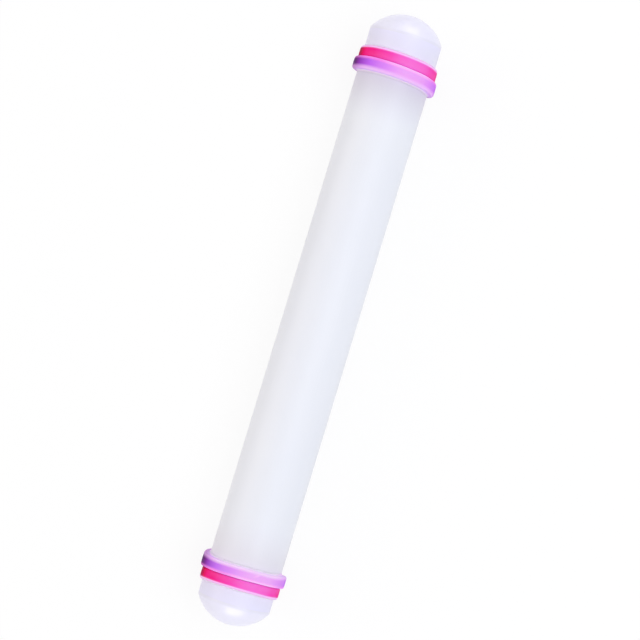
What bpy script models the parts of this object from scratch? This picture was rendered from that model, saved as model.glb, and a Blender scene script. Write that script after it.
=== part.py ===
"""Fondant rolling pin with guide rings, lying on its two thick rings.

A smooth hollow roller is closed at each end by a domed plug that presses into
its bore. Near each end two elastic rings grip the roller, side by side: a
thick one, and outboard of it a thin one. The rings roll on the table and hold
the roller off it, so their depth sets how thick the fondant comes out.

Units are metres. +X runs along the pin towards its right end, +Z is up, and
the origin is on the table under the middle of the pin.
"""

import bpy
from math import acos, atan2, cos, pi, radians, sin, sqrt, tan
from mathutils import Matrix

# Roller: its plugs make the whole pin 228.6 mm long over the domes
BARREL_LENGTH = 0.2112
BARREL_DIAMETER = 0.0267
BARREL_WALL = 0.0030
BARREL_EDGE = 0.0002
BORE_LEAD_IN = 0.0007

# Domed end plugs
DOME_HEIGHT = 0.0078
PLUG_RIM = 0.0006
PLUG_EDGE = 0.0002
PLUG_SHELL = 0.0022
SPIGOT_WALL = 0.0018
COLLAR_LENGTH = 0.0025
BARB_COUNT = 3
BARB_PITCH = 0.0022
BARB_DEPTH = 0.0006
BARB_GROOVE = 0.0008
BARB_LAND = 0.0002
TIP_LENGTH = 0.0014
TIP_DEPTH = 0.0006

# Clearances of the plug in the tube
SEAT_GAP = 0.0003
BORE_GAP = 0.0003

# Guide rings: depth is how far a ring stands off the roller
THICK_RING_DEPTH = 0.00230
THICK_RING_WIDTH = 0.0041
THIN_RING_DEPTH = 0.00125
THIN_RING_WIDTH = 0.0039
RING_EDGE_RADIUS = 0.00045
RING_BORE_EDGE = 0.00015
RING_GRIP_GAP = 0.0003
RING_PAIR_GAP = 0.0002

# Where each pair sits, from the end of the tube to the thin ring's middle. A pair
# is pushed on by hand, a little out of square: its yaw leans it outwards at the
# front or the back, and its pitch leans it outwards at the top
RIGHT_INSET = 0.00965
RIGHT_YAW = radians(2.5)
RIGHT_PITCH = radians(2.5)
LEFT_INSET = 0.00715
LEFT_YAW = radians(0.4)
LEFT_PITCH = radians(-1.5)

# Facets: one of them lies flat on the table
FACETS = 48
DOME_STEPS = 10
HOLLOW_STEPS = 4
EDGE_STEPS = 3
MERGE_DISTANCE = 0.00001
SHARP_ANGLE = radians(25)

# Worked out from the sizes above
BARREL_RADIUS = BARREL_DIAMETER / 2
BORE_RADIUS = BARREL_RADIUS - BARREL_WALL
PLUG_HEAD = DOME_HEIGHT + PLUG_RIM
HALF_FACET = pi / FACETS
AXIS_HEIGHT = (BARREL_RADIUS + THICK_RING_DEPTH) * cos(HALF_FACET)


def linear(hex_colour):
    """An sRGB hex colour as linear red, green, blue and alpha."""
    shares = [int(hex_colour[i:i + 2], 16) / 255 for i in (1, 3, 5)]
    return [s / 12.92 if s <= 0.04045 else ((s + 0.055) / 1.055) ** 2.4 for s in shares] + [1.0]


def material(name, hex_colour, roughness):
    """A plain plastic or rubber finish."""
    made = bpy.data.materials.new(name)
    made.use_nodes = True
    shader = made.node_tree.nodes["Principled BSDF"]
    shader.inputs["Base Color"].default_value = linear(hex_colour)
    shader.inputs["Roughness"].default_value = roughness
    shader.inputs["Metallic"].default_value = 0.0
    made.diffuse_color = linear(hex_colour)
    return made


def arc(centre, radius, start, end, steps):
    """Points of an arc in the plane of radius and height, from one angle to another."""
    angles = [start + (end - start) * i / steps for i in range(steps + 1)]
    return [(centre[0] + radius * cos(a), centre[1] + radius * sin(a)) for a in angles]


def turned_mesh(name, outline, closed):
    """The mesh swept by an outline of (radius, height) points about the Z axis.

    The outline starts half a facet round, so that the facet at +X is square to
    it. It runs down the outside of the shape, and up the inside.
    """
    points = [(r * cos(HALF_FACET), r * sin(HALF_FACET), h) for r, h in outline]
    edges = [(i, i + 1) for i in range(len(points) - 1)]
    if closed:
        edges.append((len(points) - 1, 0))
    profile = bpy.data.meshes.new(name + "_outline")
    profile.from_pydata(points, edges, [])
    sweep = bpy.data.objects.new(name + "_outline", profile)
    bpy.context.scene.collection.objects.link(sweep)
    screw = sweep.modifiers.new("turn", "SCREW")
    screw.axis = "Z"
    screw.angle = 2 * pi
    screw.screw_offset = 0
    screw.steps = FACETS
    screw.render_steps = FACETS
    screw.use_merge_vertices = True
    screw.merge_threshold = MERGE_DISTANCE
    swept = sweep.evaluated_get(bpy.context.evaluated_depsgraph_get())
    mesh = bpy.data.meshes.new_from_object(swept)
    mesh.name = name
    bpy.data.objects.remove(sweep)
    bpy.data.meshes.remove(profile)
    return mesh


def add_piece(collection, parent, mesh, finish, height):
    """Puts a turned mesh on its parent's Z axis, shaded smooth between its edges."""
    mesh.shade_smooth()
    mesh.set_sharp_from_angle(angle=SHARP_ANGLE)
    mesh.materials.append(finish)
    piece = bpy.data.objects.new(mesh.name, mesh)
    piece.parent = parent
    piece.location = (0, 0, height)
    collection.objects.link(piece)
    return piece


def add_guide(collection, name, parent, height, rotation):
    """An empty that carries pieces along its Z axis."""
    guide = bpy.data.objects.new(name, None)
    guide.empty_display_size = BARREL_RADIUS
    guide.parent = parent
    guide.location = (0, 0, height)
    guide.rotation_euler = rotation
    collection.objects.link(guide)
    return guide


def tube_outline():
    """The extruded tube, with its ends faced, its rim broken and its bore led in."""
    end = BARREL_LENGTH / 2
    return [
        (BARREL_RADIUS - BARREL_EDGE, end),
        (BARREL_RADIUS, end - BARREL_EDGE),
        (BARREL_RADIUS, -end + BARREL_EDGE),
        (BARREL_RADIUS - BARREL_EDGE, -end),
        (BORE_RADIUS + BORE_LEAD_IN, -end),
        (BORE_RADIUS, -end + BORE_LEAD_IN),
        (BORE_RADIUS, end - BORE_LEAD_IN),
        (BORE_RADIUS + BORE_LEAD_IN, end),
    ]


def barb_outline(root, crest, top):
    """One saw-toothed barb below a height: a groove, a square shoulder and a ramp."""
    shoulder = top - BARB_GROOVE
    return [
        (root, shoulder),
        (crest, shoulder),
        (crest, shoulder - BARB_LAND),
        (root, top - BARB_PITCH),
    ]


def plug_outline():
    """The plug from the crest of its dome, with the face that seats on the tube at height 0."""
    dome_radius = (BARREL_RADIUS**2 + DOME_HEIGHT**2) / (2 * DOME_HEIGHT)
    dome_centre = (0, PLUG_HEAD - dome_radius)
    crease = atan2(PLUG_RIM - dome_centre[1], BARREL_RADIUS)
    outline = arc(dome_centre, dome_radius, pi / 2, crease, DOME_STEPS)
    outline += [(BARREL_RADIUS, PLUG_EDGE), (BARREL_RADIUS - PLUG_EDGE, 0)]

    crest = BORE_RADIUS - BORE_GAP
    root = crest - BARB_DEPTH
    outline += [(crest, 0), (crest, -COLLAR_LENGTH), (root, -COLLAR_LENGTH)]
    for i in range(BARB_COUNT):
        outline += barb_outline(root, crest, -COLLAR_LENGTH - i * BARB_PITCH)

    hollow = root - SPIGOT_WALL
    tip = -COLLAR_LENGTH - BARB_COUNT * BARB_PITCH - TIP_LENGTH
    outline += [(root - TIP_DEPTH, tip), (hollow, tip)]
    hollow_dome = dome_radius - PLUG_SHELL
    return outline + arc(dome_centre, hollow_dome, acos(hollow / hollow_dome), pi / 2, HOLLOW_STEPS)


def ring_outline(depth, width):
    """A flat band with soft outer corners, a clearance off the roller."""
    outer = BARREL_RADIUS + depth
    inner = BARREL_RADIUS + RING_GRIP_GAP
    side = width / 2
    edge = min(RING_EDGE_RADIUS, (outer - inner) / 2, side)
    centre = outer - edge
    outline = arc((centre, side - edge), edge, pi / 2, 0, EDGE_STEPS)
    outline += arc((centre, edge - side), edge, 0, -pi / 2, EDGE_STEPS)
    outline += [
        (inner + RING_BORE_EDGE, -side),
        (inner, RING_BORE_EDGE - side),
        (inner, side - RING_BORE_EDGE),
        (inner + RING_BORE_EDGE, side),
    ]
    return outline


def ring_mesh(name, depth, width, yaw, pitch):
    """A ring pushed out of square: its sides lean while its bore stays on the roller.

    Its own +Z points outwards, and its own +X down.
    """
    mesh = turned_mesh(name, ring_outline(depth, width), closed=True)
    shear = Matrix.Identity(4)
    shear[2][0] = -tan(pitch)
    shear[2][1] = tan(yaw)
    mesh.transform(shear)
    return mesh


def add_end(collection, side, tube_end, inset, yaw, pitch, finishes):
    """The plug and the two rings of one end, on a guide at the end of the tube."""
    plug = turned_mesh("end_plug_" + side, plug_outline(), closed=False)
    add_piece(collection, tube_end, plug, finishes["plug"], SEAT_GAP)
    spacing = (THICK_RING_WIDTH + THIN_RING_WIDTH) / 2 + RING_PAIR_GAP
    thick = ring_mesh("thick_ring_" + side, THICK_RING_DEPTH, THICK_RING_WIDTH, yaw, pitch)
    thick_ring = add_piece(collection, tube_end, thick, finishes["thick"], -inset - spacing)
    thin = ring_mesh("thin_ring_" + side, THIN_RING_DEPTH, THIN_RING_WIDTH, yaw, pitch)
    add_piece(collection, thick_ring, thin, finishes["thin"], spacing)


def main():
    for old in list(bpy.data.objects):
        bpy.data.objects.remove(old)
    collection = bpy.data.collections.new("fondant_rolling_pin")
    bpy.context.scene.collection.children.link(collection)
    finishes = {
        "plug": material("moulded_polyethylene", "#EBEAFA", 0.35),
        "thick": material("purple_silicone", "#D884F8", 0.42),
        "thin": material("pink_silicone", "#F94CBE", 0.42),
    }

    # The pin's own Z axis lies along +X, and its facet at +X faces the table
    axis = add_guide(collection, "pin_axis", None, AXIS_HEIGHT, (0, pi / 2, 0))
    tube = turned_mesh("barrel_tube", tube_outline(), closed=True)
    add_piece(collection, axis, tube, material("extruded_polyethylene", "#EEF1FA", 0.4), 0)
    right = add_guide(collection, "right_tube_end", axis, BARREL_LENGTH / 2, (0, 0, 0))
    left = add_guide(collection, "left_tube_end", axis, -BARREL_LENGTH / 2, (pi, 0, 0))
    add_end(collection, "right", right, RIGHT_INSET, RIGHT_YAW, RIGHT_PITCH, finishes)
    add_end(collection, "left", left, LEFT_INSET, LEFT_YAW, LEFT_PITCH, finishes)


main()
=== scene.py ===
"""A fondant rolling pin with guide rings, finished and set up in a light tent.

The frame holds the pin's solids at their real size. This file makes the fine
surface of each piece round them, with its plastic or silicone, and the tent.
Lengths are in metres. +X runs along the pin to its right end, and +Z is up.
"""

from collections import namedtuple
from math import atan2, cos, hypot, pi, radians, sin, sqrt, tan

import bmesh
import bpy
from bpy.props import FloatProperty, FloatVectorProperty, IntProperty, PointerProperty
from mathutils import Matrix, Vector


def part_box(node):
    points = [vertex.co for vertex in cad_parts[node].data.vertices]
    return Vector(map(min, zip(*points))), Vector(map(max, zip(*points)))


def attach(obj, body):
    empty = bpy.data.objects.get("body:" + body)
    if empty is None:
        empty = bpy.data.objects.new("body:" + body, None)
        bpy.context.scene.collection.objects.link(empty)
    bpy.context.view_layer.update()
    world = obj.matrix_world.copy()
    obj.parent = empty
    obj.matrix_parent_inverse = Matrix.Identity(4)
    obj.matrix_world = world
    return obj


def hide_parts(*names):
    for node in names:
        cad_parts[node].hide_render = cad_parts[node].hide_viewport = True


bl_info = {
    "name": "Fondant Rolling Pin",
    "version": (1, 0, 0),
    "blender": (4, 5, 0),
    "location": "3D View > Sidebar > Rolling Pin",
    "description": "Adds a hollow fondant rolling pin with domed plugs and elastic guide rings",
    "category": "Add Mesh",
}

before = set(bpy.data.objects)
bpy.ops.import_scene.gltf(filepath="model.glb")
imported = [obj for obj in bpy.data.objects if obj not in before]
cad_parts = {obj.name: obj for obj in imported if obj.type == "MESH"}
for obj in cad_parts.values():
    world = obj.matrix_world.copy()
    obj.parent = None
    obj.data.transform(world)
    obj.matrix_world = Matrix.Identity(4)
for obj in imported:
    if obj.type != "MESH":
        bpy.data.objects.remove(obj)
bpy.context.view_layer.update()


def middle_and_size(node):
    """The middle of a node of the frame, and its size along X, Y and Z."""
    low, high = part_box(node)
    return (low + high) / 2, high - low


# The solids in the frame are turned in flats, whose corners lie on the round surface
FLATS_PER_TURN = 48
FLATS_TO_ROUND = 1 / cos(pi / FLATS_PER_TURN)

# The thick rings keep to the flats, so that the pin stays as high as the solids
TUBE_MIDDLE, TUBE_SIZE = middle_and_size("barrel_tube")
THICK_RADIUS = middle_and_size("thick_ring_right")[1].y / 2
THIN_RADIUS = middle_and_size("thin_ring_right")[1].y / 2 * FLATS_TO_ROUND
AXIS_HEIGHT = TUBE_MIDDLE.z
PIN_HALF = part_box("end_plug_right")[1].x

# Which way is outwards at each end
OUTWARDS = {"right": 1, "left": -1}

# How the sides of a pair of rings lie, pushed on by hand: each is shifted outwards all
# round, yaw carries it outwards at +Y and pitch at the top, in degrees, and the bend
# twice and the wave three times a turn, by a reach and outermost at a crest in degrees
LIES = {
    "right": {
        "inboard": {"yaw": 3.5, "pitch": 0.6, "bend": (0.00027, 109)},
        "contact": {"yaw": 2.5, "pitch": 2.9},
        "outboard": {"shift": 0.00020, "yaw": 1.8, "pitch": 3.4},
    },
    "left": {
        "inboard": {
            "shift": -0.00029, "yaw": -2.0, "pitch": 0.0,
            "bend": (0.00061, 57), "wave": (0.00026, 15),
        },
        "contact": {"shift": 0.00020, "yaw": -0.2, "pitch": -2.3, "bend": (0.00022, 55)},
        "outboard": {"shift": 0.00050, "yaw": 0.4, "pitch": -3.6},
    },
}

# Small ripples round a ring: how many a turn, their share of the ripple, and their phase
RIPPLES = ((3, 0.5, radians(25)), (5, 0.35, radians(120)), (8, 0.15, radians(60)))

# The point attributes of a ring: the share of the painted glow of its shoulder, and the
# shares of its painted pale edge highlight, of the lighter tone painted down its sides and
# of the film of its feather edge, which also carries the painted sheen
GLOW_ATTRIBUTE = "edge_glow"
EDGE_ATTRIBUTE = "edge_tones"

# Fineness of the meshes
MERGE_DISTANCE = 0.000001
SHARP_ANGLE = radians(35)
ARC_STEPS = 4
DOME_STEPS = 40
HOLLOW_STEPS = 12
CORNER_STEPS = 6
CROWN_STEPS = 8
FOOT_STEPS = 6

# Hairlines between pieces that are pressed in or stretched on: a plug off the end of the
# tube, its barbs off the bore, a ring off the tube, and the two rings of a pair apart
SEAT_GAP = 0.000002
BORE_GAP = 0.0001
GRIP_GAP = 0.00002
PAIR_GAP = 0.0001

# The radius that breaks the edge of a faced end, and the thickness of a feather edge
BROKEN_EDGE = 0.00001
FOOT_EDGE = 0.00003

# How near a faced end a loop keeps the shading of the tube's and the plug's sides flat
EDGE_LOOP = 0.00015


def linear(hex_colour):
    """An sRGB hex colour as linear red, green and blue."""
    shares = [int(hex_colour[i:i + 2], 16) / 255 for i in (1, 3, 5)]
    return [s / 12.92 if s <= 0.04045 else ((s + 0.055) / 1.055) ** 2.4 for s in shares]


# Settings that a user would change


class BarrelSettings(bpy.types.PropertyGroup):
    """Sizes and colours of the extruded tube that does the rolling."""

    length: FloatProperty(
        name="Length", description="Length of the tube between its faced ends",
        default=TUBE_SIZE.x, unit="LENGTH", precision=5,
    )
    diameter: FloatProperty(
        name="Diameter", description="Outer diameter of the tube",
        default=TUBE_SIZE.y * FLATS_TO_ROUND, unit="LENGTH", precision=5,
    )
    wall: FloatProperty(
        name="Wall", description="Thickness of the tube's wall",
        default=0.0030, unit="LENGTH", precision=5,
    )
    bore_lead_in: FloatProperty(
        name="Bore Lead-in", description="Chamfer at the mouth of the bore",
        default=0.0007, unit="LENGTH", precision=5,
    )
    segments: IntProperty(
        name="Segments", description="Segments round the tube and the plugs",
        default=192, min=48,
    )
    colour: FloatVectorProperty(
        name="Colour", description="Milky polyethylene over the hollow of the tube",
        default=linear("#EFF1F9"), subtype="COLOR",
    )
    thin_colour: FloatVectorProperty(
        name="Thin Wall Colour", description="Where the wall came out of the die a little thinner",
        default=linear("#EAEDF6"), subtype="COLOR",
    )
    # Painted shade of the hollow inboard of the rings, darker at the right end than at the left
    painted_shade_right_colour: FloatVectorProperty(
        name="Shaded Right Colour",
        description="Inboard of the right rings, where they and the plug keep light out of the hollow",
        default=linear("#DDDAE7"), subtype="COLOR",
    )
    painted_shade_left_colour: FloatVectorProperty(
        name="Shaded Left Colour",
        description="Inboard of the left rings, where the hollow gets a little more light",
        default=linear("#E9E8F0"), subtype="COLOR",
    )
    backed_colour: FloatVectorProperty(
        name="Backed Colour",
        description="At the ends, where the spigot of the plug backs the wall",
        default=linear("#E9E7FE"), subtype="COLOR",
    )


class PlugSettings(bpy.types.PropertyGroup):
    """Sizes and colours of the moulded plugs that close the tube."""

    dome_height: FloatProperty(
        name="Dome Height", description="From the crease to the crest of the dome",
        default=0.0078, unit="LENGTH", precision=5,
    )
    crease_radius: FloatProperty(
        name="Crease Radius", description="Radius between the dome and its rim",
        default=0.00040, unit="LENGTH", precision=5,
    )
    shell: FloatProperty(
        name="Shell", description="Thickness of the hollow dome",
        default=0.0022, unit="LENGTH", precision=5,
    )
    spigot_wall: FloatProperty(
        name="Spigot Wall", description="Thickness of the spigot between its barbs",
        default=0.0018, unit="LENGTH", precision=5,
    )
    collar_length: FloatProperty(
        name="Collar Length", description="Plain collar between the seat and the first barb",
        default=0.0025, unit="LENGTH", precision=5,
    )
    barbs: IntProperty(
        name="Barbs", description="Saw-toothed barbs that hold the plug in the bore",
        default=3, min=1,
    )
    barb_pitch: FloatProperty(
        name="Barb Pitch", description="From one barb to the next",
        default=0.0022, unit="LENGTH", precision=5,
    )
    barb_depth: FloatProperty(
        name="Barb Depth", description="How far a barb stands out of its root",
        default=0.0006, unit="LENGTH", precision=5,
    )
    barb_groove: FloatProperty(
        name="Barb Groove", description="Width of the groove in front of each barb",
        default=0.0008, unit="LENGTH", precision=5,
    )
    barb_land: FloatProperty(
        name="Barb Land", description="Flat on the crest of each barb",
        default=0.0002, unit="LENGTH", precision=5,
    )
    colour: FloatVectorProperty(
        name="Colour", description="Milky polyethylene of the plugs",
        default=linear("#EBEAF9"), subtype="COLOR",
    )
    flow_colour: FloatVectorProperty(
        name="Flow Colour", description="Slightly greyer streaks where the melt met",
        default=linear("#E3E1F5"), subtype="COLOR",
    )


class RingSettings(bpy.types.PropertyGroup):
    """Sizes and colours of the two pairs of elastic rings."""

    thick_width: FloatProperty(
        name="Thick Width", description="Width of the thick rings along the pin",
        default=0.0042, unit="LENGTH", precision=5,
    )
    thin_width: FloatProperty(
        name="Thin Width", description="Width of the thin rings along the pin",
        default=0.0040, unit="LENGTH", precision=5,
    )
    corner_radius: FloatProperty(
        name="Corner Radius", description="Radius of the outer corners",
        default=0.00060, unit="LENGTH", precision=5,
    )
    bore_corner_radius: FloatProperty(
        name="Bore Corner Radius", description="Radius of the corners at the bore",
        default=0.00020, unit="LENGTH", precision=5,
    )
    crown: FloatProperty(
        name="Crown", description="How far the band bulges at the middle of its width",
        default=0.00006, unit="LENGTH", precision=5,
    )
    ripple: FloatProperty(
        name="Ripple", description="How far the sides of a ring wander over short stretches",
        default=0.00008, unit="LENGTH", precision=5,
    )
    thick_foot: FloatProperty(
        name="Thick Foot",
        description="How far the inboard foot of a thick ring flares along the tube",
        default=0.0007, unit="LENGTH", precision=5,
    )
    thin_foot: FloatProperty(
        name="Thin Foot",
        description="How far the outboard foot of a thin ring flares along the tube",
        default=0.00035, unit="LENGTH", precision=5,
    )
    foot_height: FloatProperty(
        name="Foot Height", description="How high up the side of a ring its flare starts",
        default=0.0009, unit="LENGTH", precision=5,
    )
    pale_inboard: FloatProperty(
        name="Pale Inboard", description="How far the inboard edge of a thick ring is pale",
        default=0.0009, unit="LENGTH", precision=5,
    )
    pale_shoulder: FloatProperty(
        name="Pale Shoulder",
        description="How far a thick ring is pale where it stands above its thin neighbour",
        default=0.0009, unit="LENGTH", precision=5,
    )
    pale_outboard: FloatProperty(
        name="Pale Outboard", description="How far the outboard edge of a thin ring is pale",
        default=0.0008, unit="LENGTH", precision=5,
    )
    segments: IntProperty(
        name="Segments", description="Segments round each ring",
        default=192, min=48,
    )
    # From under to crown the tones of the thick rings are painted shading: deep where a ring turns from
    # the light, pale on its lit crown as a painted sheen
    under_purple: FloatVectorProperty(
        name="Under Purple", description="Where the pigment sank to as the thick rings cured",
        default=linear("#5A1A6E"), subtype="COLOR",
    )
    deep_purple: FloatVectorProperty(
        name="Deep Purple", description="Where the pigment of the thick rings is deep",
        default=linear("#80279A"), subtype="COLOR",
    )
    rich_purple: FloatVectorProperty(
        name="Rich Purple", description="Where the pigment of the thick rings is rich",
        default=linear("#A144CD"), subtype="COLOR",
    )
    full_purple: FloatVectorProperty(
        name="Full Purple", description="Where the thick rings are evenly pigmented",
        default=linear("#C86AF7"), subtype="COLOR",
    )
    light_purple: FloatVectorProperty(
        name="Light Purple", description="Towards the crown of the thick rings",
        default=linear("#E493FB"), subtype="COLOR",
    )
    crown_purple: FloatVectorProperty(
        name="Crown Purple", description="Where the thick rings are stretched and chalky",
        default=linear("#EFACF8"), subtype="COLOR",
    )
    # Glow, pale and side tones are painted light on the edges of the thick rings: a painted glow at the
    # shoulder, a painted pale highlight and a lighter tone painted down the sides
    glow_purple: FloatVectorProperty(
        name="Glow Purple",
        description="Shoulders of the thick rings, where pink light comes through",
        default=linear("#FC8CF0"), subtype="COLOR",
    )
    pale_purple: FloatVectorProperty(
        name="Pale Purple", description="Edges of the thick rings, where light comes through",
        default=linear("#FFC2FF"), subtype="COLOR",
    )
    side_purple: FloatVectorProperty(
        name="Side Purple", description="Down the sides of the thick rings",
        default=linear("#D9A9FC"), subtype="COLOR",
    )
    # The film tone is the tube showing through a feather edge, painted lighter against the shade at a
    # ring's foot, and it also carries the painted sheen of the lit crown
    film_purple: FloatVectorProperty(
        name="Film Purple",
        description="Feather edges of the thick rings, where the tube shows through",
        default=linear("#FAE6FF"), subtype="COLOR",
    )
    # From under to crown the tones of the thin rings are painted shading: deep where a ring turns from
    # the light, pale on its lit crown as a painted sheen
    under_pink: FloatVectorProperty(
        name="Under Pink", description="Where the pigment sank to as the thin rings cured",
        default=linear("#B4004C"), subtype="COLOR",
    )
    deep_pink: FloatVectorProperty(
        name="Deep Pink", description="Where the pigment of the thin rings is deep",
        default=linear("#F0005C"), subtype="COLOR",
    )
    rich_pink: FloatVectorProperty(
        name="Rich Pink", description="Where the pigment of the thin rings is rich",
        default=linear("#FF1C88"), subtype="COLOR",
    )
    full_pink: FloatVectorProperty(
        name="Full Pink", description="Where the thin rings are evenly pigmented",
        default=linear("#FF2094"), subtype="COLOR",
    )
    light_pink: FloatVectorProperty(
        name="Light Pink", description="Towards the crown of the thin rings",
        default=linear("#FF4BBD"), subtype="COLOR",
    )
    crown_pink: FloatVectorProperty(
        name="Crown Pink", description="Where the thin rings are stretched and chalky",
        default=linear("#FF70D7"), subtype="COLOR",
    )
    # Pale and side tones are painted light on the edges of the thin rings: a painted pale highlight and
    # a lighter tone painted down the sides
    pale_pink: FloatVectorProperty(
        name="Pale Pink", description="Edges of the thin rings, where light comes through",
        default=linear("#FFC6FF"), subtype="COLOR",
    )
    side_pink: FloatVectorProperty(
        name="Side Pink", description="Down the sides of the thin rings",
        default=linear("#FFDAFF"), subtype="COLOR",
    )
    # The film tone is the tube showing through a feather edge, painted lighter against the shade at a
    # ring's foot, and it also carries the painted sheen of the lit crown
    film_pink: FloatVectorProperty(
        name="Film Pink",
        description="Feather edges of the thin rings, where the tube shows through",
        default=linear("#FFF0FF"), subtype="COLOR",
    )


class StageSettings(bpy.types.PropertyGroup):
    """The light tent and the camera."""

    camera_distance: FloatProperty(
        name="Camera Distance", description="From the camera to the middle of the pin",
        default=0.85, unit="LENGTH",
    )
    camera_tilt: FloatProperty(
        name="Camera Tilt",
        description="How far the camera stands off the vertical, towards the left end",
        default=radians(0.4), unit="ROTATION",
    )
    pin_slant: FloatProperty(
        name="Pin Slant", description="How far the pin leans from the upright in the picture",
        default=radians(16.93), unit="ROTATION",
    )
    picture_width: FloatProperty(
        name="Picture Width", description="What the picture takes in, measured at the pin's axis",
        default=0.2304, unit="LENGTH", precision=4,
    )
    key: FloatProperty(
        name="Key", description="Light of the broad softbox at the front",
        default=0.34, min=0,
    )
    fill: FloatProperty(
        name="Fill", description="Light of the low softbox at the back",
        default=0.18, min=0,
    )
    right_end: FloatProperty(
        name="Right End", description="Light of the low softbox beyond the right end of the pin",
        default=0.172, min=0,
    )
    left_end: FloatProperty(
        name="Left End", description="Light of the low softbox beyond the left end of the pin",
        default=0.23, min=0,
    )
    tent: FloatProperty(
        name="Tent", description="Light from the cloth of the tent all round",
        default=0.65, min=0,
    )


class RollingPinSettings(bpy.types.PropertyGroup):
    """All the settings of the rolling pin."""

    barrel: PointerProperty(type=BarrelSettings)
    plug: PointerProperty(type=PlugSettings)
    ring: PointerProperty(type=RingSettings)
    stage: PointerProperty(type=StageSettings)


# Shapes


def arc(centre, radius, start, end, steps):
    """Points of an arc in the plane of radius and place along the pin."""
    angles = [start + (end - start) * i / steps for i in range(steps + 1)]
    return [(centre[0] + radius * cos(a), centre[1] + radius * sin(a)) for a in angles]


def turned_mesh(name, outline, segments, closed):
    """The mesh swept round the X axis by an outline of (radius, place along X) points."""
    shape = bmesh.new()
    corners = [shape.verts.new((x, 0, radius)) for radius, x in outline]
    edges = [shape.edges.new(pair) for pair in zip(corners, corners[1:])]
    if closed:
        edges.append(shape.edges.new((corners[-1], corners[0])))
    bmesh.ops.spin(
        shape,
        geom=corners + edges,
        cent=(0, 0, 0),
        axis=(1, 0, 0),
        angle=2 * pi,
        steps=segments,
        use_merge=True,
    )
    bmesh.ops.remove_doubles(shape, verts=shape.verts, dist=MERGE_DISTANCE)
    bmesh.ops.recalc_face_normals(shape, faces=shape.faces)
    mesh = bpy.data.meshes.new(name)
    shape.to_mesh(mesh)
    shape.free()
    mesh.shade_smooth()
    mesh.set_sharp_from_angle(angle=SHARP_ANGLE)
    return mesh


def add_piece(name, mesh, finish, place, node, body):
    """Puts a mesh on the pin's axis, in the place of a node of the frame and on its body."""
    mesh.materials.append(finish)
    piece = bpy.data.objects.new(name, mesh)
    piece.location = (place, 0, AXIS_HEIGHT)
    bpy.context.scene.collection.objects.link(piece)
    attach(piece, body)
    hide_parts(node)


def tube_outline(barrel):
    """The tube: its outside from right to left, then its bore from left to right."""
    radius, end = barrel.diameter / 2, barrel.length / 2
    edge = BROKEN_EDGE
    bore = radius - barrel.wall
    lead = barrel.bore_lead_in
    outline = arc((radius - edge, end - edge), edge, pi / 2, 0, ARC_STEPS)
    outline += [(radius, end - EDGE_LOOP), (radius, EDGE_LOOP - end)]
    outline += arc((radius - edge, edge - end), edge, 0, -pi / 2, ARC_STEPS)
    return outline + [
        (bore + lead, -end),
        (bore, -end + lead),
        (bore, end - lead),
        (bore + lead, end),
    ]


def plug_outline(barrel, plug):
    """The right-hand plug: down its dome and its spigot, then up its hollow."""
    radius = barrel.diameter / 2
    height = plug.dome_height
    dome_radius = (radius**2 + height**2) / (2 * height)
    dome_centre = (0, PIN_HALF - dome_radius)

    # The crease turns from the dome to the rim on a small arc that is tangent to both
    crease = plug.crease_radius
    rise = sqrt((dome_radius - crease) ** 2 - (radius - crease) ** 2)
    turn = atan2(rise, radius - crease)
    outline = arc(dome_centre, dome_radius, pi / 2, turn, DOME_STEPS)
    outline += arc((radius - crease, dome_centre[1] + rise), crease, turn, 0, ARC_STEPS)[1:]

    seat = barrel.length / 2 + SEAT_GAP
    edge = BROKEN_EDGE
    outline.append((radius, seat + EDGE_LOOP))
    outline += arc((radius - edge, seat + edge), edge, 0, -pi / 2, ARC_STEPS)

    # The collar, and below it the barbs, each with its groove, crest and ramp
    crest = radius - barrel.wall - BORE_GAP
    root = crest - plug.barb_depth
    shoulder = seat - plug.collar_length
    outline += [(crest, seat), (crest, shoulder), (root, shoulder)]
    for i in range(plug.barbs):
        top = shoulder - i * plug.barb_pitch
        outline += [
            (root, top - plug.barb_groove),
            (crest, top - plug.barb_groove),
            (crest, top - plug.barb_groove - plug.barb_land),
            (root, top - plug.barb_pitch),
        ]

    # The tip tapers in by the depth of a barb, and the hollow follows the dome
    hollow = root - plug.spigot_wall
    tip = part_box("end_plug_right")[0].x
    hollow_dome = dome_radius - plug.shell
    start = atan2(sqrt(hollow_dome**2 - hollow**2), hollow)
    outline += [(root - plug.barb_depth, tip), (hollow, tip)]
    return outline + arc(dome_centre, hollow_dome, start, pi / 2, HOLLOW_STEPS)


def foot_outline(side, inner, foot, ring):
    """The foot of a ring's side: a hollow flare to a feather edge, or without one a soft corner."""
    away = 1 if side > 0 else -1
    if not foot:
        corner = ring.bore_corner_radius
        return [
            (r, side - away * (corner - x))
            for r, x in arc((inner + corner, 0), corner, pi / 2, pi, ARC_STEPS)
        ]
    rise = ring.foot_height - FOOT_EDGE
    points = []
    for i in range(FOOT_STEPS + 1):
        turn = pi / 2 * i / FOOT_STEPS
        points.append(
            (inner + FOOT_EDGE + rise * (1 - sin(turn)), side + away * foot * (1 - cos(turn)))
        )
    return points + [(inner, side + away * foot)]


def ring_outline(outer, inner, width, feet, ring):
    """A band with soft corners and a slight crown: its outside from the outer side, then its bore.

    Places grow outwards along the pin, and feet gives the flare of the inner
    and the outer side.
    """
    side = width / 2
    corner = ring.corner_radius
    shoulder = outer - ring.crown - corner
    outline = arc((shoulder, side - corner), corner, pi / 2, 0, CORNER_STEPS)
    flat = side - corner
    for i in range(1, CROWN_STEPS):
        x = flat * (1 - 2 * i / CROWN_STEPS)
        outline.append((outer - ring.crown * (x / flat) ** 2, x))
    outline += arc((shoulder, corner - side), corner, 0, -pi / 2, CORNER_STEPS)
    outline += foot_outline(-side, inner, feet[0], ring)
    return outline + foot_outline(side, inner, feet[1], ring)[::-1]


# Materials


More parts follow.
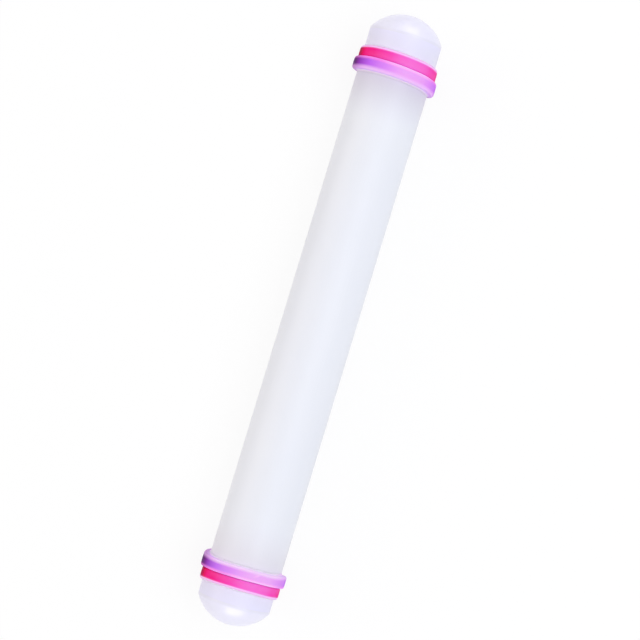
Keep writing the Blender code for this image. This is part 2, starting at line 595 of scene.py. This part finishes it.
def add_node(tree, kind, inputs=None, **settings):
    """Adds a shader node with its settings: each input takes a value, or a link from a socket."""
    node = tree.nodes.new(kind)
    for name, value in settings.items():
        setattr(node, name, value)
    for key, value in (inputs or {}).items():
        if isinstance(value, bpy.types.NodeSocket):
            tree.links.new(value, node.inputs[key])
        else:
            node.inputs[key].default_value = value
    return node


def empty_material(name, colour):
    """A material without nodes yet, and its tree."""
    made = bpy.data.materials.new(name)
    made.use_nodes = True
    made.diffuse_color = (*colour, 1)
    made.node_tree.nodes.clear()
    return made, made.node_tree


# Sockets of the Mix node in its colour form
MIX_SHARE, MIX_A, MIX_B, MIX_RESULT = 0, 6, 7, 2

POLYETHYLENE_IOR = 1.51

# How far light travels in the plastic and the silicone
SCATTER_REACH = 0.0008

# How fully it sinks into the plastic, and how far from the seam between a plug and the
# tube it starts to do so and does so fully
SINK_WEIGHT = 0.5
SINK_START = 0.001
SINK_END = 0.004


def sinking_light(tree, distance, seam):
    """A socket with the weight of the sinking light, which is 0 at the seam, so that no line shows."""
    offset = add_node(tree, "ShaderNodeMath", {0: distance, 1: seam}, operation="SUBTRACT")
    gap = add_node(tree, "ShaderNodeMath", {0: offset.outputs[0]}, operation="ABSOLUTE")
    share = add_node(
        tree, "ShaderNodeMapRange",
        {
            "Value": gap.outputs[0], "From Min": SINK_START, "From Max": SINK_END,
            "To Max": SINK_WEIGHT,
        },
    )
    return share.outputs[0]


def add_waxy_surface(tree, inputs, distance, seam):
    """The surface that both polyethylenes have: milky, with light that sinks in."""
    shader = add_node(
        tree, "ShaderNodeBsdfPrincipled",
        {
            **inputs,
            "IOR": POLYETHYLENE_IOR,
            "Subsurface Weight": sinking_light(tree, distance, seam),
            "Subsurface Radius": (1.0, 1.0, 1.0),
            "Subsurface Scale": SCATTER_REACH,
        },
    )
    add_node(tree, "ShaderNodeOutputMaterial", {"Surface": shader.outputs[0]})


def along_pin(tree, place):
    """Sockets that are the place along the pin, and the distance from its middle."""
    along = add_node(tree, "ShaderNodeSeparateXYZ", {0: place}).outputs["X"]
    distance = add_node(tree, "ShaderNodeMath", {0: along}, operation="ABSOLUTE")
    return along, distance.outputs[0]


def drawn_out(tree, place, along, across, inputs):
    """A socket of noise drawn out along the pin, from the lengths of its features both ways."""
    scaled = add_node(
        tree, "ShaderNodeMapping", {"Vector": place, "Scale": (1 / along, 1 / across, 1 / across)}
    )
    noise = add_node(
        tree, "ShaderNodeTexNoise", {"Vector": scaled.outputs[0], "Scale": 1.0, **inputs}
    )
    return noise.outputs["Fac"]


def grained(tree, place, grain, strength, depth, under=None):
    """Sockets of a fine grain: its height from 0 to 1, and the normal of a surface that has it."""
    noise = add_node(
        tree, "ShaderNodeTexNoise", {"Vector": place, "Scale": 1 / grain, "Detail": 2.0}
    )
    inputs = {"Height": noise.outputs["Fac"], "Strength": strength, "Distance": depth}
    if under is not None:
        inputs["Normal"] = under
    return noise.outputs["Fac"], add_node(tree, "ShaderNodeBump", inputs).outputs[0]


SATIN_GRAIN = 0.0009

# Lengths of the wander of the tube's wall, of its die lines, which are as coarse as they
# need to be to show, and of the streaks in the plugs, along the pin and across it
WALL_WANDER = (0.060, 0.012)
DIE_LINES = (0.120, 0.0007)
MELT_STREAKS = (0.030, 0.006)

# From each end of the tube: where the painted shade of its hollow starts, where that
# painted shade is darkest and the spigot starts to back the wall, and from where the
# spigot backs it fully
DARK_START = 0.034
DARK_FULL = 0.015
BACKED_FULL = 0.009


def extruded_polyethylene(settings):
    """Low-density polyethylene, extruded and sized in a vacuum sleeve.

    It looks milky and waxy: light sinks in and comes out again about a
    millimetre away, so its shading is soft. The die leaves faint lines along
    the tube, and the sleeve a fine satin.
    """
    barrel = settings.barrel
    made, tree = empty_material("extruded_polyethylene", barrel.colour)
    place = add_node(tree, "ShaderNodeTexCoord").outputs["Object"]
    wall = drawn_out(tree, place, *WALL_WANDER, {"Detail": 2.0, "Roughness": 0.5})
    colour = add_node(
        tree, "ShaderNodeMix",
        {MIX_SHARE: wall, MIX_A: (*barrel.colour, 1), MIX_B: (*barrel.thin_colour, 1)},
        data_type="RGBA",
    )

    # Towards its ends the hollow gets less light, which is painted into the colour as
    # shade, and then the spigot backs the wall
    along, distance = along_pin(tree, place)
    end = barrel.length / 2
    for value, first, last, tone in (
        (along, end - DARK_START, end - DARK_FULL, barrel.painted_shade_right_colour),
        (along, DARK_START - end, DARK_FULL - end, barrel.painted_shade_left_colour),
        (distance, end - DARK_FULL, end - BACKED_FULL, barrel.backed_colour),
    ):
        reached = add_node(
            tree, "ShaderNodeMapRange",
            {"Value": value, "From Min": first, "From Max": last},
            interpolation_type="SMOOTHSTEP",
        )
        colour = add_node(
            tree, "ShaderNodeMix",
            {MIX_SHARE: reached.outputs[0], MIX_A: colour.outputs[MIX_RESULT], MIX_B: (*tone, 1)},
            data_type="RGBA",
        )

    # The die lines score the surface and vary its gloss, and the satin grain lies over them
    lines = drawn_out(tree, place, *DIE_LINES, {"Detail": 3.0, "Roughness": 0.6})
    roughness = add_node(tree, "ShaderNodeMapRange", {"Value": lines, "To Min": 0.36, "To Max": 0.48})
    scored = add_node(
        tree, "ShaderNodeBump", {"Height": lines, "Strength": 0.35, "Distance": 0.00005}
    )
    normal = grained(
        tree, place, SATIN_GRAIN, strength=0.25, depth=0.00005, under=scored.outputs[0]
    )[1]
    add_waxy_surface(
        tree,
        {
            "Base Color": colour.outputs[MIX_RESULT], "Roughness": roughness.outputs[0],
            "Normal": normal, "Specular IOR Level": 0.4,
        },
        distance, end,
    )
    return made


def moulded_polyethylene(settings):
    """Low-density polyethylene, injection moulded.

    It is as milky as the tube and takes a little more gloss from the mould,
    with weak streaks where the melt ran from the crest down the dome.
    """
    plug = settings.plug
    made, tree = empty_material("moulded_polyethylene", plug.colour)
    place = add_node(tree, "ShaderNodeTexCoord").outputs["Object"]
    flow = drawn_out(tree, place, *MELT_STREAKS, {"Detail": 3.0, "Distortion": 0.6})
    colour = add_node(
        tree, "ShaderNodeMix",
        {MIX_SHARE: flow, MIX_A: (*plug.colour, 1), MIX_B: (*plug.flow_colour, 1)},
        data_type="RGBA",
    )
    satin, normal = grained(tree, place, SATIN_GRAIN, strength=0.2, depth=0.00004)
    roughness = add_node(tree, "ShaderNodeMapRange", {"Value": satin, "To Min": 0.28, "To Max": 0.36})
    add_waxy_surface(
        tree,
        {
            "Base Color": colour.outputs[MIX_RESULT], "Roughness": roughness.outputs[0],
            "Normal": normal, "Specular IOR Level": 0.9,
        },
        along_pin(tree, place)[1], settings.barrel.length / 2,
    )
    return made


SILICONE_IOR = 1.41
SKIN_GRAIN = 0.0008

# Which way the painted light comes from, so that a ring is painted deep where it turns
# away from it and pale where it faces it, the level at which the painted shading starts,
# and the levels of its tones, as shares of a ring's radius
PAINTED_LIGHT_DIRECTION = (0.0, -sin(radians(20)), cos(radians(20)))
LOWEST_LEVEL = -0.15
PAINTED_SHADING_LEVELS = {
    "under": -0.03, "deep": 0.10, "rich": 0.25, "full": 0.50, "light": 0.84, "crown": 1.0,
}

# How large the clouds are that shift the painted shading, and by how much of its range they shift it
CLOUD_SIZE = 0.008
CLOUD_SHIFT = 0.06

# The tones that the edges of a ring put over its painted shading, each over the one
# before: a painted glow, a painted pale highlight, a lighter tone painted down the sides,
# and the film, which also carries the painted sheen. No part of a thin ring glows, so
# there the first has no share
THICK_EDGE_TONES = ("glow", "pale", "side", "film")
THIN_EDGE_TONES = ("pale", "pale", "side", "film")


def painted_shading(tree, place, radius, colours):
    """A socket of the tone of the painted shading at its level in a ring, which clouds shift a little.
    """
    height = add_node(
        tree, "ShaderNodeVectorMath", {0: place, 1: PAINTED_LIGHT_DIRECTION}, operation="DOT_PRODUCT"
    )
    level = add_node(
        tree, "ShaderNodeMapRange",
        {"Value": height.outputs["Value"], "From Min": LOWEST_LEVEL * radius, "From Max": radius},
    )
    cloud = add_node(
        tree, "ShaderNodeTexNoise", {"Vector": place, "Scale": 1 / CLOUD_SIZE, "Detail": 2.0}
    )
    shift = add_node(
        tree, "ShaderNodeMapRange",
        {"Value": cloud.outputs["Fac"], "To Min": -CLOUD_SHIFT, "To Max": CLOUD_SHIFT},
    )
    shifted = add_node(
        tree, "ShaderNodeMath", {0: level.outputs[0], 1: shift.outputs[0]}, operation="ADD"
    )
    ramp = add_node(tree, "ShaderNodeValToRGB", {"Fac": shifted.outputs[0]})
    stops = ramp.color_ramp.elements
    while len(stops) < len(PAINTED_SHADING_LEVELS):
        stops.new(1.0)
    for stop, (tone, share) in zip(stops, PAINTED_SHADING_LEVELS.items()):
        stop.position = (share - LOWEST_LEVEL) / (1 - LOWEST_LEVEL)
        stop.color = (*colours[tone], 1)
    return ramp.outputs["Color"]


def moulded_silicone(name, hue, edge_tones, radius, ring):
    """Pigmented silicone rubber, compression moulded and stretched on.

    It looks soft and saturated, with a broad dull sheen. Light and shade are painted
    into its colour: a ring is painted deep where it turns from the light and pale, a
    painted sheen, where it faces it, and its thin edges are painted pale where light
    comes through them.
    """
    colours = {tone: getattr(ring, tone + "_" + hue) for tone in (*PAINTED_SHADING_LEVELS, *edge_tones)}
    made, tree = empty_material(name, colours["full"])
    place = add_node(tree, "ShaderNodeTexCoord").outputs["Object"]
    colour = painted_shading(tree, place, radius, colours)
    glow = add_node(tree, "ShaderNodeAttribute", attribute_name=GLOW_ATTRIBUTE)
    edges = add_node(tree, "ShaderNodeAttribute", attribute_name=EDGE_ATTRIBUTE)
    shares = add_node(tree, "ShaderNodeSeparateXYZ", {0: edges.outputs["Vector"]})
    # Over the painted shading go the painted glow, the painted pale highlight, the tone painted down
    # the sides, and the film, which also carries the painted sheen
    for share, tone in zip((glow.outputs["Fac"], *shares.outputs), edge_tones):
        mixed = add_node(
            tree, "ShaderNodeMix",
            {MIX_SHARE: share, MIX_A: colour, MIX_B: (*colours[tone], 1)},
            data_type="RGBA",
        )
        colour = mixed.outputs[MIX_RESULT]
    skin, normal = grained(tree, place, SKIN_GRAIN, strength=0.25, depth=0.00005)
    roughness = add_node(tree, "ShaderNodeMapRange", {"Value": skin, "To Min": 0.46, "To Max": 0.58})
    shader = add_node(
        tree, "ShaderNodeBsdfPrincipled",
        {
            "Base Color": colour,
            "Roughness": roughness.outputs[0],
            "Normal": normal,
            "IOR": SILICONE_IOR,
            "Specular IOR Level": 0.05,
            "Specular Tint": (1.0, 0.5, 0.95, 1),
            "Subsurface Weight": 0.4,
            "Subsurface Radius": (1.0, 0.5, 0.8),
            "Subsurface Scale": SCATTER_REACH,
        },
    )
    add_node(tree, "ShaderNodeOutputMaterial", {"Surface": shader.outputs[0]})
    return made


# Guide rings


def outward_shift(lie, y, z):
    """How far outwards a side of a ring lies at a place round the pin."""
    shift = lie.get("shift", 0)
    shift += tan(radians(lie["yaw"])) * y + tan(radians(lie["pitch"])) * z
    for times, name in ((2, "bend"), (3, "wave")):
        reach, crest = lie.get(name, (0, 0))
        shift += reach * cos(times * (atan2(z, y) - radians(crest)))
    return shift


def ripple(y, z):
    """How far the ripples carry a ring outwards at a place round the pin, as a share of the most."""
    angle = atan2(z, y)
    return sum(share * sin(count * angle + phase) for count, share, phase in RIPPLES)


# A ring as it is turned: its outer radius, its width, and for its inner and its outer
# side the flare of its foot, its lie and how far its edge zone reaches across the band
RingShape = namedtuple("RingShape", "outer width feet lies zones")

# A ring's edges, whose glow, pale and side tones are painted light. Fades: for the inner
# and the outer edge, the shares of the painted glow, of the painted pale highlight and of
# the painted side tone right at the edge, and where they start and end fading, as shares
# of its zone. Painted sheen: how much sheen is painted on the lit side of the ring all
# over and at its inboard edge, and how far that reaches. Dull: how much duller the edges
# get towards the front and the back of the pin. Pale streak: a pale streak across the
# band, in the pale tone
RingLook = namedtuple("RingLook", "fades chalk dull pinch")

# A pale streak: where it leaves the inboard edge, across the pin, how far it leans from
# there, its half-width, its length and its share of the pale tone
PALE_STREAK = (-0.0068, 1.15, 0.0012, 0.0026, 0.8)

THICK_FADES = (((0.0, 0.9, 0.5), 0.2, 1.6), ((0.95, 0.0, 0.0), 0.7, 1.3))
THIN_FADES = (None, ((0.0, 1.0, 0.0), 0.7, 1.3))
THIN_LOOK = RingLook(THIN_FADES, chalk=(0.0, 0.055, 0.0022), dull=0, pinch=None)
RING_LOOKS = {
    "thick_right": RingLook(THICK_FADES, chalk=(0.0, 0.25, 0.0009), dull=0.45, pinch=None),
    "thick_left": RingLook(THICK_FADES, chalk=(0.09, 0.6, 0.0009), dull=0.45, pinch=PALE_STREAK),
    "thin_right": THIN_LOOK,
    "thin_left": THIN_LOOK,
}

# Between which levels of the painted shading the painted glow turns to the painted pale
# highlight and the painted sheen grows, over what shares of its reach the painted sheen
# fades, and where the edges get duller, as shares of the ring's radius
GLOW_LEVELS = (0.68, 1.0)
PAINTED_SHEEN_LEVELS = (0.1, 0.6)
PAINTED_SHEEN_FADE = (0.2, 1.6)
DULL_REACH = (0.7, 0.95)

# How far down a side its painted tone settles, and how far along its foot a ring reaches
# the tone of the feather edge
SIDE_FADE = 0.0014
FILM_REACH = 0.4


def softly(low, high, value):
    """0 below the low end, 1 above the high end, and a soft rise between them."""
    share = min(1, max(0, (value - low) / (high - low)))
    return share**2 * (3 - 2 * share)


def streak_share(pinch, from_inboard, y):
    """How pale a streak makes a ring, by distance from its inboard edge and place across the pin."""
    start, lean, half_width, length, most = pinch
    off = abs(y - start - lean * from_inboard)
    return most * (1 - softly(0, half_width, off)) * (1 - softly(length / 2, length, from_inboard))


def edge_shares(from_edges, depth, shape, fades):
    """The shares of the painted glow and the edge tones, by distance from both sides and depth."""
    glow = pale = side = film = 0.0
    for from_edge, zone, foot, fade in zip(from_edges, shape.zones, shape.feet, fades):
        if not zone:
            continue
        (glow_most, pale_most, side_most), first, last = fade
        kept = 1 - softly(first, last, from_edge / zone)
        glow = max(glow, kept * glow_most)
        pale = max(pale, kept * pale_most)
        side = max(side, kept * side_most)
        if from_edge < MERGE_DISTANCE:
            side = max(side, softly(0, SIDE_FADE, depth))
        if foot:
            film = max(film, softly(0, FILM_REACH * foot, -from_edge))
    return glow, pale, side, film


def edge_tones(spot, from_inner, shape, look):
    """At a spot of a ring, the share of its painted glow, and those of its painted pale, painted side
    and film tones.
    """
    depth = shape.outer - hypot(spot.y, spot.z)
    level = spot.dot(Vector(PAINTED_LIGHT_DIRECTION)) / shape.outer
    from_edges = (from_inner, shape.width - from_inner)
    glow, pale, side, film = edge_shares(from_edges, depth, shape, look.fades)
    # On the lit side the painted glow turns to the painted pale highlight
    pale = max(pale, glow * softly(*GLOW_LEVELS, level))
    if look.pinch and spot.z > 0:
        pale = max(pale, streak_share(look.pinch, from_inner, spot.y))
    # On the lit side the film tone is also painted on as sheen
    all_over, at_edge, reach = look.chalk
    painted_sheen_share = softly(*PAINTED_SHEEN_LEVELS, level)
    film = max(film, at_edge * painted_sheen_share * (1 - softly(*PAINTED_SHEEN_FADE, from_inner / reach)))
    kept = 1 - look.dull * softly(*DULL_REACH, abs(spot.y) / shape.outer)
    return glow * kept, (pale * kept, side * kept, max(film * kept, all_over * painted_sheen_share))


def ring_mesh(name, outwards, shape, look, settings):
    """A ring along the pin, with the lie of each of its sides and the tones of its edges, mostly
    painted light.
    """
    ring = settings.ring
    inner = settings.barrel.diameter / 2 + GRIP_GAP
    outline = [
        (r, outwards * x)
        for r, x in ring_outline(shape.outer, inner, shape.width, shape.feet, ring)
    ]
    mesh = turned_mesh(name, outline, ring.segments, closed=True)
    glows = mesh.attributes.new(GLOW_ATTRIBUTE, "FLOAT", "POINT")
    tones = mesh.attributes.new(EDGE_ATTRIBUTE, "FLOAT_VECTOR", "POINT")
    for vertex in mesh.vertices:
        x, y, z = vertex.co
        from_inner = x * outwards + shape.width / 2
        glow, shares = edge_tones(vertex.co, from_inner, shape, look)
        glows.data[vertex.index].value = glow
        tones.data[vertex.index].vector = shares
        at_inner, at_outer = [outward_shift(lie, y, z) for lie in shape.lies]
        shift = at_inner + (at_outer - at_inner) * from_inner / shape.width
        vertex.co.x = x + outwards * (shift + ring.ripple * ripple(y, z))
    return mesh


def add_pair(side, purple, pink, settings):
    """The two rings of one end, whose contact lies between the middles of the frame's two."""
    ring = settings.ring
    outwards = OUTWARDS[side]
    lies = LIES[side]
    thick_middle = middle_and_size("thick_ring_" + side)[0].x
    thin_middle = middle_and_size("thin_ring_" + side)[0].x
    share = ring.thick_width / (ring.thick_width + ring.thin_width)
    contact = thick_middle + (thin_middle - thick_middle) * share
    thick = RingShape(
        THICK_RADIUS, ring.thick_width, feet=(ring.thick_foot, 0),
        lies=(lies["inboard"], lies["contact"]), zones=(ring.pale_inboard, ring.pale_shoulder),
    )
    thin = RingShape(
        THIN_RADIUS, ring.thin_width, feet=(0, ring.thin_foot),
        lies=(lies["contact"], lies["outboard"]), zones=(0, ring.pale_outboard),
    )
    for kind, shape, finish, slot, way in (
        ("thick", thick, purple, "purple_silicone", -outwards),
        ("thin", thin, pink, "pink_silicone", outwards),
    ):
        name = kind + "_band_" + side
        mesh = ring_mesh(name, outwards, shape, RING_LOOKS[kind + "_" + side], settings)
        place = contact + way * (shape.width + PAIR_GAP) / 2
        add_piece(name, mesh, finish, place, kind + "_ring_" + side, side + "_" + kind)


# Stage


# Each softbox: the setting with its light, its direction from the pin, its distance,
# its size and its colour
SOFTBOXES = (
    ("key", (0.10, -0.45, 1.00), 0.9, (0.9, 0.6), "#F4F7FF"),
    ("fill", (0, 0.9, 0.5), 0.9, (0.9, 0.6), "#FFEBD8"),
    ("right_end", (1, -0.08, 0.22), 0.8, (0.42, 0.36), "#F8F8FF"),
    ("left_end", (-1, -0.08, 0.16), 0.8, (0.42, 0.36), "#F8F8FF"),
)


def add_softbox(name, target, direction, distance, size, share, hex_colour):
    """A softbox that lights a face turned to it by a share of the plain level.

    At the plain level a colour renders about as it is written, which takes
    pi squared watts at one metre.
    """
    lamp = bpy.data.lights.new(name, "AREA")
    lamp.shape = "RECTANGLE"
    lamp.size, lamp.size_y = size
    lamp.energy = share * pi**2 * distance**2
    lamp.color = linear(hex_colour)
    softbox = bpy.data.objects.new(name, lamp)
    away = Vector(direction).normalized()
    softbox.location = target + away * distance
    softbox.rotation_euler = (-away).to_track_quat("-Z", "Y").to_euler()
    bpy.context.scene.collection.objects.link(softbox)


def seen_directly(tree):
    """A socket that is 1 for what the camera sees, also in a reflection or through glass."""
    path = add_node(tree, "ShaderNodeLightPath")
    glossy = add_node(
        tree, "ShaderNodeMath",
        {0: path.outputs["Is Camera Ray"], 1: path.outputs["Is Glossy Ray"]},
        operation="MAXIMUM",
    )
    clear = add_node(
        tree, "ShaderNodeMath",
        {0: glossy.outputs[0], 1: path.outputs["Is Transmission Ray"]},
        operation="MAXIMUM",
    )
    return clear.outputs[0]


def add_tent(stage):
    """White cloth all round: white to the camera, and dimmer as a light."""
    world = bpy.data.worlds.new("light_tent")
    bpy.context.scene.world = world
    world.use_nodes = True
    tree = world.node_tree
    tree.nodes.clear()
    strength = add_node(
        tree, "ShaderNodeMapRange", {"Value": seen_directly(tree), "To Min": stage.tent, "To Max": 1.0}
    )
    cloth = add_node(
        tree, "ShaderNodeBackground", {"Color": (1, 1, 1, 1), "Strength": strength.outputs[0]}
    )
    add_node(tree, "ShaderNodeOutputWorld", {"Surface": cloth.outputs[0]})


# How wide the floor is, and how far it lies below the rings
FLOOR_SIZE = 6.0
FLOOR_DROP = 0.00002

# How much of the pin's shadow the camera sees, and how far from the middle of the floor
# it starts to fade and has faded
SHADOW_SHARE = 0.13
SHADOW_REACH = 0.35
SHADOW_END = 0.9

# How much light the floor throws back up
BOUNCE_COLOUR = (0.85, 0.85, 0.85, 1)


def white_paper():
    """Matt white paper: even white to the camera, with a weak shadow round the pin."""
    made, tree = empty_material("white_paper", (1, 1, 1))
    place = add_node(tree, "ShaderNodeTexCoord").outputs["Object"]
    distance = add_node(tree, "ShaderNodeVectorMath", {0: place}, operation="LENGTH")
    shadow = add_node(
        tree, "ShaderNodeMapRange",
        {
            "Value": distance.outputs["Value"], "From Min": SHADOW_REACH, "From Max": SHADOW_END,
            "To Min": SHADOW_SHARE, "To Max": 0.0,
        },
        interpolation_type="SMOOTHSTEP",
    )
    lit = add_node(tree, "ShaderNodeBsdfDiffuse", {"Color": (1, 1, 1, 1)})
    white = add_node(tree, "ShaderNodeEmission", {"Color": (1, 1, 1, 1), "Strength": 1.0})
    shown = add_node(
        tree, "ShaderNodeMixShader", {0: shadow.outputs[0], 1: white.outputs[0], 2: lit.outputs[0]}
    )
    bounce = add_node(tree, "ShaderNodeBsdfDiffuse", {"Color": BOUNCE_COLOUR})
    either = add_node(
        tree, "ShaderNodeMixShader", {0: seen_directly(tree), 1: bounce.outputs[0], 2: shown.outputs[0]}
    )
    add_node(tree, "ShaderNodeOutputMaterial", {"Surface": either.outputs[0]})
    return made


def add_floor():
    """A wide sheet of paper just under the rings."""
    shape = bmesh.new()
    bmesh.ops.create_grid(shape, x_segments=1, y_segments=1, size=FLOOR_SIZE / 2)
    mesh = bpy.data.meshes.new("paper_floor")
    shape.to_mesh(mesh)
    shape.free()
    mesh.materials.append(white_paper())
    floor = bpy.data.objects.new("paper_floor", mesh)
    floor.location = (0, 0, -FLOOR_DROP)
    bpy.context.scene.collection.objects.link(floor)


SENSOR_WIDTH = 36.0


def add_camera(stage, pin):
    """A camera over the pin, turned so that the pin leans to the right in the picture."""
    distance, tilt, slant = stage.camera_distance, stage.camera_tilt, stage.pin_slant
    forward = Vector((sin(tilt), 0, -cos(tilt)))
    along = Vector((cos(tilt), 0, sin(tilt)))
    across = forward.cross(along)
    up = along * cos(slant) - across * sin(slant)
    right = forward.cross(up)
    data = bpy.data.cameras.new("camera")
    data.sensor_width = SENSOR_WIDTH
    data.lens = SENSOR_WIDTH * distance / stage.picture_width
    camera = bpy.data.objects.new("camera", data)
    turn = Matrix((right, up, -forward)).transposed().to_4x4()
    camera.matrix_world = Matrix.Translation(pin - forward * distance) @ turn
    bpy.context.scene.collection.objects.link(camera)
    bpy.context.scene.camera = camera


# Operators


class ROLLING_PIN_OT_add_barrel(bpy.types.Operator):
    """Add the extruded tube"""

    bl_idname = "rolling_pin.add_barrel"
    bl_label = "Add Barrel"
    bl_options = {"REGISTER", "UNDO"}

    def execute(self, context):
        settings = context.scene.rolling_pin
        barrel = settings.barrel
        name = "roller_tube"
        mesh = turned_mesh(name, tube_outline(barrel), barrel.segments, closed=True)
        finish = extruded_polyethylene(settings)
        add_piece(name, mesh, finish, TUBE_MIDDLE.x, "barrel_tube", "roller")
        return {"FINISHED"}


class ROLLING_PIN_OT_add_plugs(bpy.types.Operator):
    """Add the two domed plugs"""

    bl_idname = "rolling_pin.add_plugs"
    bl_label = "Add Plugs"
    bl_options = {"REGISTER", "UNDO"}

    def execute(self, context):
        settings = context.scene.rolling_pin
        finish = moulded_polyethylene(settings)
        for side, outwards in OUTWARDS.items():
            name = "domed_plug_" + side
            outline = plug_outline(settings.barrel, settings.plug)
            mesh = turned_mesh(name, outline, settings.barrel.segments, closed=False)
            mesh.transform(Matrix.Rotation(0 if outwards > 0 else pi, 4, "Z"))
            add_piece(
                name, mesh, finish, TUBE_MIDDLE.x, "end_plug_" + side, "roller"
            )
        return {"FINISHED"}


class ROLLING_PIN_OT_add_rings(bpy.types.Operator):
    """Add the two pairs of guide rings"""

    bl_idname = "rolling_pin.add_rings"
    bl_label = "Add Guide Rings"
    bl_options = {"REGISTER", "UNDO"}

    def execute(self, context):
        settings = context.scene.rolling_pin
        ring = settings.ring
        purple = moulded_silicone("purple_silicone", "purple", THICK_EDGE_TONES, THICK_RADIUS, ring)
        pink = moulded_silicone("pink_silicone", "pink", THIN_EDGE_TONES, THIN_RADIUS, ring)
        for side in OUTWARDS:
            add_pair(side, purple, pink, settings)
        return {"FINISHED"}


class ROLLING_PIN_OT_add_stage(bpy.types.Operator):
    """Add the floor, the light tent and the camera"""

    bl_idname = "rolling_pin.add_stage"
    bl_label = "Add Stage"
    bl_options = {"REGISTER", "UNDO"}

    def execute(self, context):
        stage = context.scene.rolling_pin.stage
        add_floor()
        add_tent(stage)
        pin = Vector((0, 0, AXIS_HEIGHT))
        for name, direction, distance, size, colour in SOFTBOXES:
            share = getattr(stage, name)
            add_softbox(name + "_softbox", pin, direction, distance, size, share, colour)
        add_camera(stage, pin)
        context.scene.view_settings.view_transform = "Standard"
        return {"FINISHED"}


class VIEW3D_PT_rolling_pin(bpy.types.Panel):
    """Lists the settings and the operators in the sidebar"""

    bl_label = "Rolling Pin"
    bl_idname = "VIEW3D_PT_rolling_pin"
    bl_space_type = "VIEW_3D"
    bl_region_type = "UI"
    bl_category = "Rolling Pin"

    def draw(self, context):
        settings = context.scene.rolling_pin
        for operator, group in (
            (ROLLING_PIN_OT_add_barrel, settings.barrel),
            (ROLLING_PIN_OT_add_plugs, settings.plug),
            (ROLLING_PIN_OT_add_rings, settings.ring),
            (ROLLING_PIN_OT_add_stage, settings.stage),
        ):
            box = self.layout.box()
            for name in group.__annotations__:
                box.prop(group, name)
            box.operator(operator.bl_idname)


CLASSES = (
    BarrelSettings,
    PlugSettings,
    RingSettings,
    StageSettings,
    RollingPinSettings,
    ROLLING_PIN_OT_add_barrel,
    ROLLING_PIN_OT_add_plugs,
    ROLLING_PIN_OT_add_rings,
    ROLLING_PIN_OT_add_stage,
    VIEW3D_PT_rolling_pin,
)


def register():
    """Registers the classes and gives each scene its settings."""
    for made in CLASSES:
        bpy.utils.register_class(made)
    bpy.types.Scene.rolling_pin = PointerProperty(type=RollingPinSettings)


def unregister():
    """Takes the settings and the classes away again."""
    del bpy.types.Scene.rolling_pin
    for made in reversed(CLASSES):
        bpy.utils.unregister_class(made)


def main():
    """Builds the whole pin and its stage."""
    register()
    bpy.ops.rolling_pin.add_barrel()
    bpy.ops.rolling_pin.add_plugs()
    bpy.ops.rolling_pin.add_rings()
    bpy.ops.rolling_pin.add_stage()


if __name__ == "__main__":
    main()
